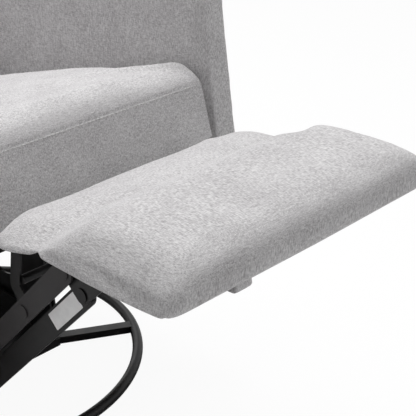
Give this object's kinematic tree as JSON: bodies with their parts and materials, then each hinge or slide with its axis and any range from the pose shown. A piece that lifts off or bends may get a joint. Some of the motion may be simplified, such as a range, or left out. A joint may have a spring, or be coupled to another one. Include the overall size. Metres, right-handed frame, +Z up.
{
  "type": "swivel glider recliner chair",
  "caption": "Upholstered gliding recliner on a round swivel base, with a fold-out footrest, a bridging flap and a tilting seat and back.",
  "frame": {"origin": "on the floor at the swivel axis, under the middle of the round base", "axes": "+Z up, the chair faces -Y, +X is the sitter's left"},
  "size_m": [0.6299, 1.3685, 0.9442],
  "materials": {
    "upholstery": "heathered slub weave",
    "webbing": "elastic webbing",
    "plywood": "bare",
    "bright_steel": "zinc plated",
    "grey_steel": "semi-gloss black",
    "black_steel": "semi-gloss black"
  },
  "bodies": {
    "base": {"base_ring": "black_steel", "base_spokes": "black_steel", "hub_plate": "black_steel", "bearing_lower_race": "bright_steel", "bearing_balls": "bright_steel", "king_bolt": "bright_steel"},
    "swivel": {"bearing_upper_race": "bright_steel", "glide_tray": "black_steel", "glide_upright_left": "black_steel", "glide_upright_right": "black_steel"},
    "front_glide_links": {"glide_link_front_left": "black_steel", "glide_link_front_right": "black_steel"},
    "rear_glide_links": {"glide_link_rear_left": "black_steel", "glide_link_rear_right": "black_steel"},
    "chassis": {"glide_plate_left": "black_steel", "glide_plate_right": "black_steel", "cross_tube_front": "black_steel", "cross_tube_rear": "black_steel", "arm_bolts": "bright_steel", "side_plate_left": "black_steel", "side_plate_right": "black_steel", "arm_cleat_left": "plywood", "arm_cleat_right": "plywood", "arm_panel_left": "plywood", "arm_panel_right": "plywood", "arm_cover_left": "upholstery", "arm_cover_right": "upholstery"},
    "seat": {"seat_rail_left": "plywood", "seat_rail_right": "plywood", "seat_hinge_left": "black_steel", "seat_hinge_right": "black_steel", "seat_rail_rear": "plywood", "seat_webbing": "webbing", "seat_front_panel": "upholstery", "seat_cushion": "upholstery"},
    "back": {"back_post_left": "plywood", "back_post_right": "plywood", "back_bracket_left": "black_steel", "back_bracket_right": "black_steel", "back_board": "plywood", "back_cover": "upholstery"},
    "footrest_cranks": {"footrest_crank_left": "black_steel", "footrest_crank_right": "black_steel"},
    "footrest_main_links": {"footrest_main_link_left": "grey_steel", "footrest_main_link_right": "grey_steel", "flap_support_left": "black_steel", "flap_support_right": "black_steel", "flap_cross_tube": "black_steel"},
    "footrest_lower_links": {"footrest_lower_link_left": "black_steel", "footrest_lower_link_right": "black_steel"},
    "footrest_stays": {"footrest_stay_left": "black_steel", "footrest_stay_right": "black_steel"},
    "pad": {"pad_cushion": "upholstery", "pad_board": "plywood", "flap_cover": "upholstery", "flap_board": "plywood", "pad_bracket_left": "black_steel", "pad_bracket_right": "black_steel", "flap_strap_left": "black_steel", "flap_strap_right": "black_steel"}
  },
  "joints": [
    {"name": "swivel", "type": "hinge", "parent": "base", "child": "swivel", "pos_m": [0, 0, 0.0286], "axis": [0, 0, 1], "continuous": true},
    {"name": "glide", "type": "hinge", "parent": "swivel", "child": "front_glide_links", "pos_m": [0, -0.11, 0.215], "axis": [1, 0, 0], "range_deg": [-25, 25]},
    {"name": "glide_level", "type": "hinge", "parent": "front_glide_links", "child": "chassis", "pos_m": [0, -0.11, 0.095], "axis": [1, 0, 0], "range_deg": [-25, 25]},
    {"name": "glide_rear", "type": "hinge", "parent": "swivel", "child": "rear_glide_links", "pos_m": [0, 0.11, 0.215], "axis": [1, 0, 0], "range_deg": [-25, 25]},
    {"name": "recline", "type": "hinge", "parent": "chassis", "child": "back", "pos_m": [0, 0.215, 0.32], "axis": [-1, 0, 0], "range_deg": [-12, 14]},
    {"name": "seat_tilt", "type": "hinge", "parent": "chassis", "child": "seat", "pos_m": [0, 0.13, 0.3], "axis": [-1, 0, 0], "range_deg": [-6, 7]},
    {"name": "footrest", "type": "hinge", "parent": "chassis", "child": "footrest_cranks", "pos_m": [0, -0.2153, 0.335], "axis": [1, 0, 0], "range_deg": [0, 90]},
    {"name": "main_link_fold", "type": "hinge", "parent": "footrest_cranks", "child": "footrest_main_links", "pos_m": [0, -0.365, 0.261], "axis": [1, 0, 0], "range_deg": [-80, 0]},
    {"name": "lower_link_fold", "type": "hinge", "parent": "footrest_cranks", "child": "footrest_lower_links", "pos_m": [0, -0.38946, 0.23738], "axis": [1, 0, 0], "range_deg": [-80, 0]},
    {"name": "stay_fold", "type": "hinge", "parent": "chassis", "child": "footrest_stays", "pos_m": [0, -0.1637, 0.3252], "axis": [1, 0, 0], "range_deg": [0, 90.35]},
    {"name": "pad_fold", "type": "hinge", "parent": "footrest_main_links", "child": "pad", "pos_m": [0, -0.57847, 0.48205], "axis": [1, 0, 0], "range_deg": [0, 80]}
  ],
  "couplings": [
    {"joint": "glide_level", "follows": "glide", "ratio": -1},
    {"joint": "glide_rear", "follows": "glide", "ratio": 1},
    {"joint": "seat_tilt", "follows": "recline", "ratio": 0.5},
    {"joint": "main_link_fold", "follows": "footrest", "ratio": -0.88889},
    {"joint": "lower_link_fold", "follows": "footrest", "ratio": -0.88889},
    {"joint": "stay_fold", "follows": "footrest", "ratio": 1.0039},
    {"joint": "pad_fold", "follows": "footrest", "ratio": 0.88889}
  ]
}
